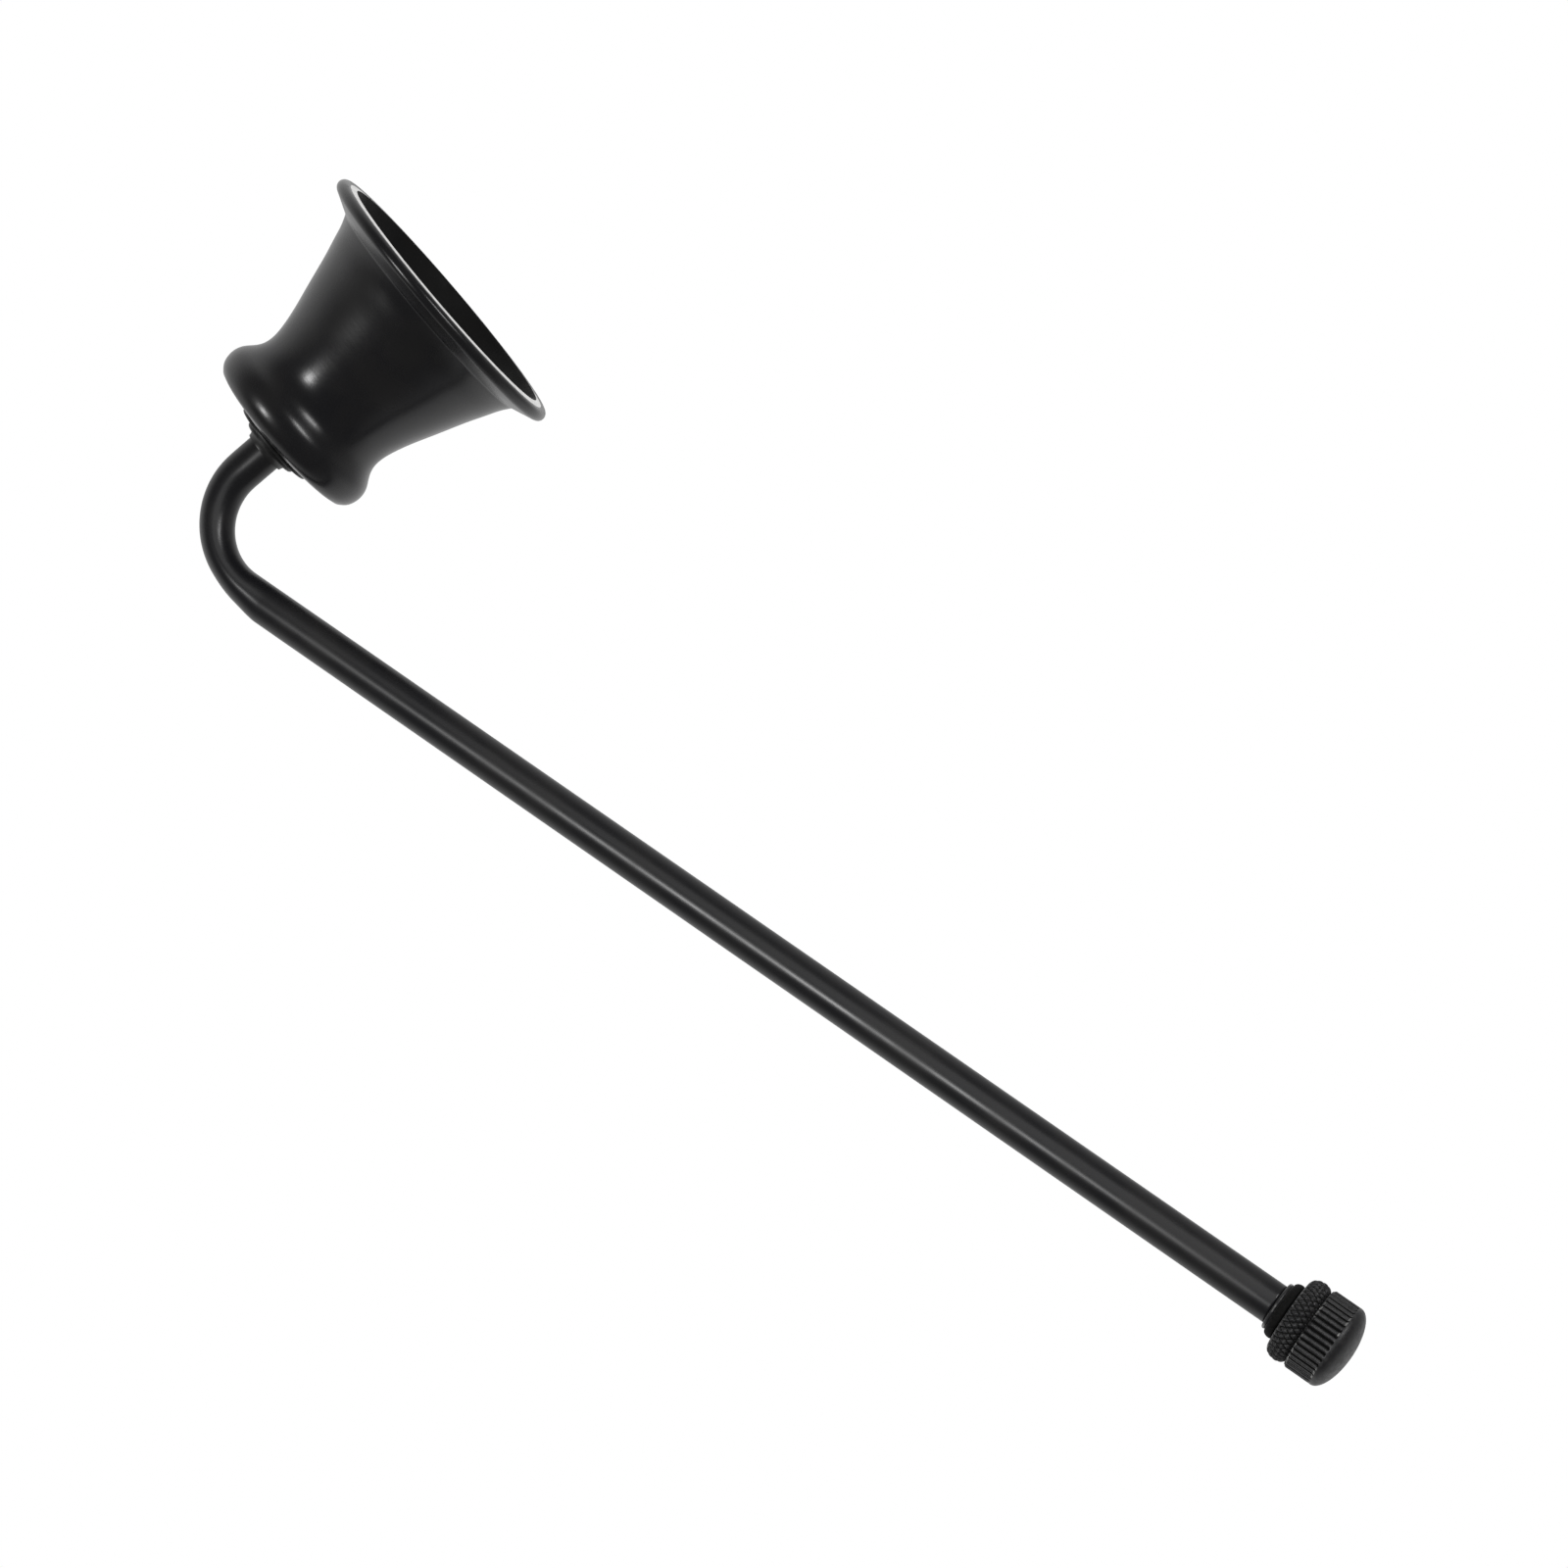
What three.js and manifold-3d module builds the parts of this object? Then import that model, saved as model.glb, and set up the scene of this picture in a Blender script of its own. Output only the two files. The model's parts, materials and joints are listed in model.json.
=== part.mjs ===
// A candle snuffer: a flared, spun steel cup screwed to the end of a bent steel tube,
// whose other end carries a taper ferrule, a knurled lock ring and a fluted, domed knob.
// Millimetres, +Z up. It is modelled with the cup's axis upright and then leaned back a
// little, the way it really rests: on the far edge of its rim and on its knob.
import * as THREE from "three";
import { mergeVertices } from "three/addons/utils/BufferGeometryUtils.js";
import Module from "manifold-3d";

// ---- driving dimensions ----
// Cup, measured from the plane of its mouth (height 0) along its axis.
const WALL = 1.0;
const LAND_INNER = 20.0; // the flat land round the mouth
const LAND_OUTER = 21.8;
const LIP_ROUND = 1.0; // round of the lip's outer edge
const CREASE = { radius: 18.7, height: 3.35 }; // where the lip's underside meets the flare
const THROAT = { radius: 11.95, height: 23.0 };
const SHOULDER = { radius: 14.2, height: 29.4 };
const BACK_EDGE = { radius: 12.4, height: 32.35 };
const HUB = { radius: 7.2, height: 33.2 }; // flat seat at the middle of the back
const CUP_HOLE = 1.75;

// Handle tube.
const TUBE_RADIUS = 3.0;
const TUBE_BORE = 2.3;
const BEND_RADIUS = 11.0;
const BEND_START = 40.0; // height at which the tube leaves the cup's axis
const SLOPE = THREE.MathUtils.degToRad(16.4); // droop of the handle below the mouth's plane
const STRAIGHT = 182.8;
const BEND_FLAT = 1.2; // how far the outer wall is drawn in where the bend is flattest
const BEND_SPREAD = 0.45; // how far the sides are pushed out there
const FLATTENED = { from: -1.0, most: 15.8, to: 24.5 }; // along the tube from the bend's start

// Hardware.
const THREAD = 1.45; // M3 screw and stud
const TAPPED = 1.55;
const CLEAR = 1.65;
const GAP = 0.06; // between faces that touch
const BACKING = { radius: 6.75, thick: 0.5 };
const COLLAR = { radius: 4.7, height: 1.7 };
const PLUG_LENGTH = 5.6;
const INNER_WASHER = { radius: 3.5, thick: 0.5 };
const LOCK_WASHER = { radius: 2.75, thick: 0.7, split: 0.6 };
const SCREW = { head: 2.8, headHeight: 1.9, recess: 1.1, arm: 0.45, shank: 8.6 };

// Knob end, measured along the handle from the end of the tube.
const FERRULE = { small: 3.25, large: 4.35, length: 2.1 };
const RING = { radius: 6.4, length: 3.3, face: 5.3 };
const KNOB = { radius: 6.38, barrel: 4.5, dome: 2.65, chamfer: 0.35 };
const FLUTES = 40;
const FLUTE_DEPTH = 0.28;
const KNURL_DEPTH = 0.22;
const STUD = { inTube: 4.6, length: 12.6 };

const ROUND = 40; // facets round the cup
const FINE = 24; // facets round small turned pieces

// ---- finishes ----
const finish = (color, roughness, metalness) =>
  new THREE.MeshStandardMaterial({ color, roughness, metalness });
const blackEnamel = finish(0x17171a, 0.3, 0.2);
const blackInside = finish(0x0b0b0c, 0.7, 0.1);
const blackCast = finish(0x1b1b1d, 0.5, 0.3);
const blackHardware = finish(0x202022, 0.45, 0.6);
const zincSteel = finish(0x9a9c9f, 0.4, 1.0);

// ---- manifold-3d helpers ----
const wasm = await Module();
wasm.setup();

function solidOf(geometry) {
  const bare = geometry.clone();
  bare.deleteAttribute("normal");
  bare.deleteAttribute("uv");
  const merged = mergeVertices(bare, 1e-4);
  const vertProperties = new Float32Array(merged.attributes.position.array);
  const triVerts = new Uint32Array(merged.index.array);
  return new wasm.Manifold(new wasm.Mesh({ numProp: 3, vertProperties, triVerts }));
}

function geometryOf(solid) {
  const mesh = solid.getMesh();
  const geometry = new THREE.BufferGeometry();
  const positions = new THREE.BufferAttribute(new Float32Array(mesh.vertProperties), 3);
  geometry.setAttribute("position", positions);
  geometry.setIndex(new THREE.BufferAttribute(new Uint32Array(mesh.triVerts), 1));
  return geometry;
}

const cut = (geometry, tool) => geometryOf(solidOf(geometry).subtract(solidOf(tool)));

// ---- geometry helpers ----
const at = (radius, height) => new THREE.Vector2(radius, height);

// Turns a closed outline of (radius, height) points about +Z.
function turned(outline, facets = FINE) {
  const geometry = new THREE.LatheGeometry([...outline, outline[0]], facets);
  return geometry.rotateX(Math.PI / 2);
}

// Points of a round corner from one angle to another, in degrees.
function corner(centre, radius, from, to, steps) {
  return Array.from({ length: steps + 1 }, (_, i) => {
    const angle = THREE.MathUtils.degToRad(from + ((to - from) * i) / steps);
    return at(centre.x + radius * Math.cos(angle), centre.y + radius * Math.sin(angle));
  });
}

function ring(inner, outer, low, high, chamfer = 0.12) {
  return [
    at(inner, low),
    at(outer - chamfer, low),
    at(outer, low + chamfer),
    at(outer, high - chamfer),
    at(outer - chamfer, high),
    at(inner, high),
  ];
}

function piece(name, geometry, material) {
  const mesh = new THREE.Mesh(geometry, material);
  mesh.name = name;
  return mesh;
}

// Draws every second facet edge inwards by depth, where the vertex lies within the band.
function flute(geometry, count, depth, low, high) {
  const positions = geometry.attributes.position;
  const point = new THREE.Vector3();
  for (let i = 0; i < positions.count; i++) {
    point.fromBufferAttribute(positions, i);
    const radius = Math.hypot(point.x, point.y);
    const step = Math.round((Math.atan2(point.y, point.x) * count) / Math.PI);
    const outside = radius > RING.face - 0.5;
    if (step % 2 === 0 || !outside || point.z < low || point.z > high) continue;
    const share = (radius - depth) / radius;
    positions.setXYZ(i, point.x * share, point.y * share, point.z);
  }
  return geometry;
}

// ---- cup ----
function cupLine() {
  const flare = new THREE.SplineCurve([
    at(CREASE.radius, CREASE.height),
    at(17.1, 6.8),
    at(15.2, 12.0),
    at(13.15, 18.0),
    at(THROAT.radius, THROAT.height),
    at(12.45, 25.7),
    at(13.7, 27.5),
    at(SHOULDER.radius, SHOULDER.height),
    at(13.75, 31.3),
    at(BACK_EDGE.radius, BACK_EDGE.height),
  ]);
  return [...flare.getPoints(15), at(HUB.radius, HUB.height)];
}

// The same line moved inwards by the wall's thickness.
function offset(line, distance) {
  return line.map((point, i) => {
    const before = line[Math.max(i - 1, 0)];
    const after = line[Math.min(i + 1, line.length - 1)];
    const along = after.clone().sub(before).normalize();
    return at(point.x - along.y * distance, point.y + along.x * distance);
  });
}

function cupShell() {
  const outside = cupLine();
  const inside = offset(outside, WALL).slice(1, -1).reverse();
  const seat = HUB.height - WALL;
  const lip = corner(at(LAND_OUTER, LIP_ROUND), LIP_ROUND, -90, 60, 5);
  return turned(
    [
      at(CUP_HOLE, seat),
      at(HUB.radius - 0.6, seat),
      ...inside,
      at(LAND_INNER - 0.5, 0.7),
      at(LAND_INNER, 0),
      ...lip,
      ...outside,
      at(CUP_HOLE, HUB.height),
    ],
    ROUND,
  );
}

// ---- joint between cup and tube ----
const backingBase = HUB.height + GAP;
const collarBase = backingBase + BACKING.thick + GAP;
const tubeBase = collarBase;

function backingWasher() {
  return turned(ring(CLEAR, BACKING.radius, backingBase, backingBase + BACKING.thick));
}

function tubeCollar() {
  const top = collarBase + COLLAR.height;
  const bore = TUBE_RADIUS + 0.1;
  const rounding = corner(at(COLLAR.radius - 0.8, top - 0.8), 0.8, 0, 90, 4);
  return turned([at(bore, collarBase), at(COLLAR.radius, collarBase), ...rounding, at(bore, top)]);
}

function tubePlug(base) {
  return turned(ring(TAPPED, TUBE_BORE - 0.1, base, base + PLUG_LENGTH), FINE);
}

const innerWasherTop = HUB.height - WALL - GAP;
const lockWasherTop = innerWasherTop - INNER_WASHER.thick - GAP;
const headTop = lockWasherTop - LOCK_WASHER.thick - GAP;

function innerWasher() {
  return turned(ring(CLEAR, INNER_WASHER.radius, innerWasherTop - INNER_WASHER.thick, innerWasherTop));
}

// A spring washer: a ring with a slanted split.
function lockWasher() {
  const { radius, thick, split } = LOCK_WASHER;
  const slot = new THREE.BoxGeometry(radius * 2, split, thick * 4);
  slot.rotateX(0.5).translate(radius, 0, lockWasherTop - thick / 2);
  return cut(turned(ring(CLEAR, radius, lockWasherTop - thick, lockWasherTop, 0.08)), slot);
}

// A pan-head machine screw with a cross recess, its head inside the cup.
function cupScrew() {
  const { head, headHeight, recess, arm, shank } = SCREW;
  const crown = corner(at(head - 1.1, headTop - headHeight + 1.1), 1.1, -90, 0, 5);
  const body = turned([
    at(0, headTop - headHeight),
    ...crown,
    at(head, headTop),
    at(THREAD, headTop),
    at(THREAD, headTop + shank - 0.4),
    at(THREAD - 0.4, headTop + shank),
    at(0, headTop + shank),
  ]);
  const bar = (x, y) => {
    const box = new THREE.BoxGeometry(x, y, recess * 2);
    return box.translate(0, 0, headTop - headHeight);
  };
  return cut(cut(body, bar(2.9, arm * 2)), bar(arm * 2, 2.9));
}

// ---- tube ----
const bendAngle = Math.PI / 2 + SLOPE;
const bendLength = BEND_RADIUS * bendAngle;

// Point, and direction away from the bend's centre, at a distance along the tube's axis.
function station(distance) {
  const rise = BEND_START - tubeBase;
  const turn = THREE.MathUtils.clamp((distance - rise) / BEND_RADIUS, 0, bendAngle);
  const outward = new THREE.Vector3(-Math.cos(turn), 0, Math.sin(turn));
  const along = new THREE.Vector3(Math.sin(turn), 0, Math.cos(turn));
  const centre = new THREE.Vector3(BEND_RADIUS, 0, BEND_START);
  const past = distance < rise ? distance - rise : Math.max(distance - rise - bendLength, 0);
  const point = centre.addScaledVector(outward, BEND_RADIUS).addScaledVector(along, past);
  return { point, outward };
}

// How much of the flattening is present at a distance: most of it late in the bend.
function flattening(distance) {
  const { from, most, to } = FLATTENED;
  const past = distance - (BEND_START - tubeBase);
  const share = past < most ? (past - from) / (most - from) : (to - past) / (to - most);
  return share <= 0 ? 0 : Math.sin((Math.PI / 2) * share) ** 1.5;
}

function tubeDistances() {
  const rise = BEND_START - tubeBase;
  const { from, to } = FLATTENED;
  const bend = Array.from({ length: 16 }, (_, i) => rise + from + ((to - from) * i) / 15);
  const total = rise + bendLength + STRAIGHT;
  return [0, ...bend, rise + bendLength + STRAIGHT / 2, total];
}

function handleTube() {
  const section = new THREE.Shape().absarc(0, 0, TUBE_RADIUS, 0, 2 * Math.PI);
  section.holes.push(new THREE.Path().absarc(0, 0, TUBE_BORE, 0, 2 * Math.PI, true));
  const distances = tubeDistances();
  const steps = distances.length - 1;
  const geometry = new THREE.ExtrudeGeometry(section, {
    depth: steps,
    steps,
    curveSegments: 10,
    bevelEnabled: false,
  });
  const positions = geometry.attributes.position;
  for (let i = 0; i < positions.count; i++) {
    const distance = distances[Math.round(positions.getZ(i))];
    const { point, outward } = station(distance);
    const flat = flattening(distance);
    const drawIn = (flat * BEND_FLAT) / 2;
    const across = positions.getX(i) * (1 - drawIn / TUBE_RADIUS) - drawIn;
    const spread = 1 + (flat * BEND_SPREAD) / TUBE_RADIUS;
    point.addScaledVector(outward, across);
    positions.setXYZ(i, point.x, point.y - positions.getY(i) * spread, point.z);
  }
  return geometry;
}

// ---- knob end, in its own frame with +Z along the handle and 0 at the end of the tube ----
const ringBase = GAP + FERRULE.length + GAP;
const knobBase = ringBase + RING.length + GAP;

function taperFerrule() {
  const { small, large, length } = FERRULE;
  const flare = new THREE.EllipseCurve(small, GAP + length, large - small, length, 0, -Math.PI / 2, true);
  return turned([at(CLEAR, GAP), ...flare.getPoints(5).reverse(), at(CLEAR, GAP + length)]);
}

function knurledRing() {
  const { radius, length, face } = RING;
  const low = ringBase;
  const high = ringBase + length;
  const outline = [
    at(CLEAR, low),
    at(face, low),
    at(radius - 0.35, low + length * 0.26),
    at(radius, low + length * 0.55),
    at(radius - 0.3, low + length * 0.9),
    at(face + 0.5, high),
    at(CLEAR, high),
  ];
  const band = [low + 0.1, high - 0.1];
  return flute(turned(outline, FLUTES * 2), FLUTES, KNURL_DEPTH, ...band);
}

function flutedKnob() {
  const { radius, barrel, dome, chamfer } = KNOB;
  const low = knobBase;
  const depth = STUD.length - STUD.inTube - knobBase + 0.3;
  const top = low + barrel;
  const cap = new THREE.EllipseCurve(0, top, radius, dome, 0, Math.PI / 2);
  const outline = [
    at(CLEAR, low),
    at(radius - chamfer, low),
    at(radius, low + chamfer),
    at(radius, top - 0.3),
    ...cap.getPoints(5),
    at(0, low + depth),
    at(CLEAR, low + depth),
  ];
  return flute(turned(outline, FLUTES * 2), FLUTES, FLUTE_DEPTH, low + 0.1, top - 0.2);
}

function knobStud() {
  const low = -STUD.inTube;
  const high = STUD.length - STUD.inTube;
  const end = THREAD - 0.35;
  return turned([
    at(0, low),
    at(end, low),
    at(THREAD, low + 0.35),
    at(THREAD, high - 0.35),
    at(end, high),
    at(0, high),
  ]);
}

// ---- assembly ----
const cupEnd = new THREE.Group();
cupEnd.add(
  piece("bell_shell", cupShell(), blackEnamel),
  piece("backing_washer", backingWasher(), blackHardware),
  piece("tube_collar", tubeCollar(), blackHardware),
  piece("tube_plug_bell", tubePlug(tubeBase + 0.2), zincSteel),
  piece("inner_washer", innerWasher(), blackHardware),
  piece("lock_washer", lockWasher(), blackHardware),
  piece("bell_screw", cupScrew(), blackInside),
  piece("handle_tube", handleTube(), blackEnamel),
);

const knobEnd = new THREE.Group();
knobEnd.add(
  piece("tube_plug_knob", tubePlug(-0.2 - PLUG_LENGTH), zincSteel),
  piece("knob_stud", knobStud(), zincSteel),
  piece("taper_ferrule", taperFerrule(), blackCast),
  piece("knurled_ring", knurledRing(), blackCast),
  piece("fluted_knob", flutedKnob(), blackCast),
);
const tubeEnd = station(BEND_START - tubeBase + bendLength + STRAIGHT).point;
knobEnd.position.copy(tubeEnd);
knobEnd.rotation.y = bendAngle;

const snuffer = new THREE.Group();
snuffer.add(cupEnd, knobEnd);

// Leans the snuffer back until the lip's round and the knob's lowest edge are level.
function restingLean() {
  const lip = at(-LAND_OUTER, LIP_ROUND);
  const reach = knobBase + KNOB.barrel;
  const knob = at(
    tubeEnd.x + reach * Math.cos(SLOPE) - KNOB.radius * Math.sin(SLOPE),
    tubeEnd.z - reach * Math.sin(SLOPE) - KNOB.radius * Math.cos(SLOPE),
  );
  const between = knob.clone().sub(lip);
  return Math.atan2(-between.y, between.x) - Math.asin(LIP_ROUND / between.length());
}

snuffer.rotation.y = -restingLean();

// Stands it on height 0 with the middle of its length at the origin.
const box = new THREE.Box3().setFromObject(snuffer, true);
snuffer.position.set(-(box.min.x + box.max.x) / 2, 0, -box.min.z);

const part = new THREE.Group();
part.add(snuffer);

export default part;
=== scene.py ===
import json
import math

import bmesh
import bpy
import numpy as np
from mathutils import Matrix, Quaternion, Vector


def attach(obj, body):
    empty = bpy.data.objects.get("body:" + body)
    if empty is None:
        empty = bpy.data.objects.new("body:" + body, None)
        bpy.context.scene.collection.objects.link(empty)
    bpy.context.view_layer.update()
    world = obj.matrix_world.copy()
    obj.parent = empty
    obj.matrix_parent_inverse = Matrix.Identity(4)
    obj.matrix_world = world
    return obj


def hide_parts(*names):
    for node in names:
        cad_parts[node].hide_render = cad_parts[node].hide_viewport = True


# A candle snuffer: a flared black cup on a bent tube, with a fluted knob at the other end.
# Pieces are shaped in millimetres in the frame of the cup or of the knob, then put in place.
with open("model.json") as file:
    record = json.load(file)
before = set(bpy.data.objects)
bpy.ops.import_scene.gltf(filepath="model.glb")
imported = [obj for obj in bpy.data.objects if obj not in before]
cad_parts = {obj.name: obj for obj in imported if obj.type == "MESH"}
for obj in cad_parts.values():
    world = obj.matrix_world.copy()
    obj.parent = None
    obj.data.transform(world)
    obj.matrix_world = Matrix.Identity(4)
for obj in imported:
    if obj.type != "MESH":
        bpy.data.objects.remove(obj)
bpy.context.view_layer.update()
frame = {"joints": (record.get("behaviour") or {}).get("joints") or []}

MM = 0.001
FULL_TURN = 2 * math.pi
NEAR = 0.001  # points closer than this are taken as one place
WELD = 0.002  # vertices closer than this are merged

# ---- dimensions of the cup, up its axis from the plane of its mouth ----
WALL = 1.0
LAND_INNER = 20.0
LAND_DISH = [(21.1, 0.18), (21.3, 0.17)]  # the land is a little hollow between its edges
LAND_WORN = 21.15  # the radius that the land's paint is worn away to
MOUTH_ROUND = [(18.35, 2.3), (19.1, 1.5), (19.6, 0.6), (19.88, 0.1)]
LIP_CENTRE = 21.845
LIP_ROUND = 0.95
LIP_RISE = 0.1  # how far the lip stands back from the plane of the land's inner edge
LIP_TURN = (-90.0, 67.7)  # where the lip's round starts and ends, in degrees
CUP_KNOTS = [
    (18.7, 3.35),
    (17.92, 4.75),
    (17.1, 6.8),
    (16.1, 9.4),
    (15.2, 12.0),
    (14.15, 15.1),
    (13.15, 18.0),
    (12.4, 20.6),
    (11.97, 23.0),
    (12.15, 25.0),
    (12.9, 26.45),
    (13.72, 27.6),
    (14.17, 28.9),
    (14.13, 30.2),
    (13.72, 31.3),
    (12.95, 32.1),
]
BACK_EDGE = (12.0, 32.42)
HUB_RADIUS = 7.2
HUB_HEIGHT = 33.2
SEAT_RADIUS = 6.6  # the flat inside that the screw's washer lies on
CUP_HOLE = 1.75
CREASE_ROUND = 0.22
BACK_ROUND = 0.45
HUB_ROUND = 0.4

# ---- dimensions of the handle ----
TUBE_RADIUS = 2.995
TUBE_WALL = 0.7
BEND_RADIUS = 11.0
BEND_START = 40.0
BEND_ANGLE = math.radians(106.4)
BEND_LENGTH = BEND_RADIUS * BEND_ANGLE
BEND_FLAT = 1.2  # how far the bend's outer wall is drawn in where it is flattest
BEND_SPREAD = 0.45  # how far the tube's sides are pushed out there
FLAT_FROM = -1.0  # the bend's flattening, along the tube from where the bend starts
FLAT_MOST = 15.8
FLAT_TO = 24.5
FLAT_EASE = 1.5
STRAIGHT = 182.8

# ---- dimensions of the hardware ----
GAP = 0.06
THREAD = 1.45
THREAD_PITCH = 0.5
THREAD_DEPTH = 0.28
TAPPED = 1.55
CLEAR = 1.65
BACKING_RADIUS = 6.75
BACKING_CROWN = 0.16
BORE_EASE = 0.05
WASHER_THICK = 0.5
COLLAR_RADIUS = 4.7
COLLAR_HEIGHT = 1.7
COLLAR_FOOT = 0.62
COLLAR_FILLET = 1.35
COLLAR_BORE = 3.095
PLUG_RADIUS = 2.2
PLUG_LENGTH = 5.6
PLUG_INSET = 0.2
PLUG_CROWN = 0.25
INNER_WASHER_RADIUS = 3.5
INNER_CROWN = 0.12
LOCK_WASHER_RADIUS = 2.75
LOCK_WASHER_THICK = 0.7
LOCK_WASHER_OPENING = 0.24  # the split, in radians
LOCK_WASHER_PLAY = 0.09
LOCK_WASHER_TWIST = 0.085  # how far each end is sprung up or down
LOCK_WASHER_ROUND = 0.07
HEAD_RADIUS = 2.8
HEAD_HEIGHT = 1.9
HEAD_CROWN = 1.1
SHANK_LENGTH = 8.6
NECK_LENGTH = 0.5
RECESS_DEPTH = 1.1
RECESS_REACH = 1.45
RECESS_ARM = 0.45
RECESS_TAPER = 0.55

# ---- dimensions of the knob end, along the handle from the end of the tube ----
FERRULE_SMALL = 3.25
FERRULE_LARGE = 4.35
FERRULE_LENGTH = 2.1
FERRULE_BEAD = 0.32
FERRULE_BEAD_TOP = 0.72
FERRULE_FLARE = [
    (3.62, 0.6),
    (3.98, 0.75),
    (4.24, 1.1),
    (FERRULE_LARGE, 1.6),
    (4.28, 1.95),
    (3.9, 2.06),
]
RING_RADIUS = 6.4
RING_FACE = 5.3
RING_LENGTH = 3.3
RING_BARREL = [
    (RING_FACE, 0.05),
    (5.86, 0.35),
    (6.22, 0.9),
    (RING_RADIUS, 1.7),
    (6.3, 2.5),
    (5.98, 3.05),
]
KNOB_RADIUS = 6.345
KNOB_BARREL = 4.5
KNOB_RINGS = [0.0, 0.12, 0.24, 0.4, 0.7, 1.4, 2.4, 3.4, 3.9, 4.12, 4.22, 4.32, 4.42]
KNOB_DOME = 2.63
KNOB_EDGE = 0.3
FLUTES = 40
FLUTE_DEPTH = 0.5
FLUTE_END = 4.36  # the height on the knob where its flutes have run out
FLUTE_RUN_OUT = 0.14
FLUTE_SHADED_DEPTH = 0.4  # how deep a flute or the knurl has to be to get painted shade
KNURL_SHADED_DEPTH = 0.62
KNURL_DEPTH = 0.36
GROOVE_STEEPNESS = 2.2
KNURL_SLANT = 0.6  # pitches that a knurl's groove moves round in each millimetre
STUD_IN_TUBE = 4.6
STUD_LENGTH = 12.6
STUD_PLAY = 0.3

CUP_STEPS = 192
TURN_STEPS = 96
TUBE_STEPS = 80
BEND_RINGS = 90
THREAD_STEPS = 32
SPRING_STEPS = 72
SHARP = math.radians(32)


# ---- frames of the cup and of the knob ----
def joint(name):
    return next(row for row in frame["joints"] if row["name"] == name)


def placed(axis, origin):
    """The frame with +Z along the axis and its origin there, from millimetres to metres."""
    up = Vector(axis).normalized()
    side = Vector((0, 1, 0))
    turn = Matrix((side.cross(up), side, up)).transposed().to_4x4()
    return Matrix.Translation(origin) @ turn @ Matrix.Scale(MM, 4)


cup_joint = joint("cup_turn")
cup_axis = Vector(cup_joint["axis"])
cup_frame = placed(cup_axis, Vector(cup_joint["pos_m"]) - cup_axis * HUB_HEIGHT * MM)
knob_joint = joint("knob_turn")
knob_frame = placed(knob_joint["axis"], Vector(knob_joint["pos_m"]))


# ---- shaping ----
def fair_line(knots, count):
    """Points along the natural cubic curve through the knots, so that highlights run evenly."""
    knots = np.array(knots, float)
    reach = np.concatenate([[0], np.cumsum(np.linalg.norm(np.diff(knots, axis=0), axis=1))])
    gap = np.diff(reach)
    system = np.eye(len(knots))
    pull = np.zeros_like(knots)
    for i in range(1, len(knots) - 1):
        system[i, i - 1 : i + 2] = gap[i - 1], 2 * (gap[i - 1] + gap[i]), gap[i]
        pull[i] = 6 * ((knots[i + 1] - knots[i]) / gap[i] - (knots[i] - knots[i - 1]) / gap[i - 1])
    curve = np.linalg.solve(system, pull)
    along = np.linspace(0, reach[-1], count)
    k = np.clip(np.searchsorted(reach, along) - 1, 0, len(knots) - 2)
    width = gap[k][:, None]
    left = (reach[k + 1] - along)[:, None]
    right = (along - reach[k])[:, None]
    cubic = (left**3 * curve[k] + right**3 * curve[k + 1]) / (6 * width)
    line = (knots[k] / width - curve[k] * width / 6) * left
    line += (knots[k + 1] / width - curve[k + 1] * width / 6) * right
    return [tuple(point) for point in cubic + line]


def arc(centre, radius, start, end, steps, squash=1.0):
    """Points of an arc from one angle to another, in degrees, its height scaled by squash."""
    angles = [math.radians(start + (end - start) * i / steps) for i in range(steps + 1)]
    return [
        (centre[0] + radius * math.cos(a), centre[1] + radius * math.sin(a) * squash)
        for a in angles
    ]


def inset_line(line, distance):
    """The line moved towards the axis by a wall's thickness."""
    points = np.array(line)
    along = np.gradient(points, axis=0)
    along /= np.linalg.norm(along, axis=1)[:, None]
    return [tuple(p) for p in points + distance * np.stack([-along[:, 1], along[:, 0]], 1)]


def rounded(bm, edges, width, segments=3):
    bmesh.ops.bevel(
        bm,
        geom=list(edges),
        offset=width,
        offset_type="OFFSET",
        affect="EDGES",
        segments=segments,
        profile=0.5,
        material=-1,
        clamp_overlap=True,
    )


def turned(outline, steps=TURN_STEPS, rounds=()):
    """Spins a closed (radius, height) outline about +Z. Each of rounds is an outline point's
    number with the width of the round that its ring gets."""
    bm = bmesh.new()
    points = [bm.verts.new((radius, 0, height)) for radius, height in outline]
    edges = [bm.edges.new(pair) for pair in zip(points, points[1:] + points[:1])]
    bmesh.ops.spin(
        bm,
        geom=points + edges,
        cent=(0, 0, 0),
        axis=(0, 0, 1),
        angle=FULL_TURN,
        steps=steps,
        use_merge=True,
    )
    on_axis = [e for e in bm.edges if all(v.co.xy.length < NEAR for v in e.verts)]
    bmesh.ops.delete(bm, geom=[e for e in on_axis if not e.link_faces], context="EDGES")
    merged(bm)
    for number, width in rounds:
        rounded(bm, ring_edges(bm, *outline[number]), width)
    return bm


def merged(bm):
    bmesh.ops.remove_doubles(bm, verts=bm.verts, dist=WELD)
    bmesh.ops.recalc_face_normals(bm, faces=bm.faces)


def ring_edges(bm, radius, height):
    """The edges of the ring of that radius and height."""

    def on_ring(vert):
        return abs(vert.co.z - height) < NEAR and abs(vert.co.xy.length - radius) < NEAR

    return [e for e in bm.edges if on_ring(e.verts[0]) and on_ring(e.verts[1])]


pieces = {}


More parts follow.
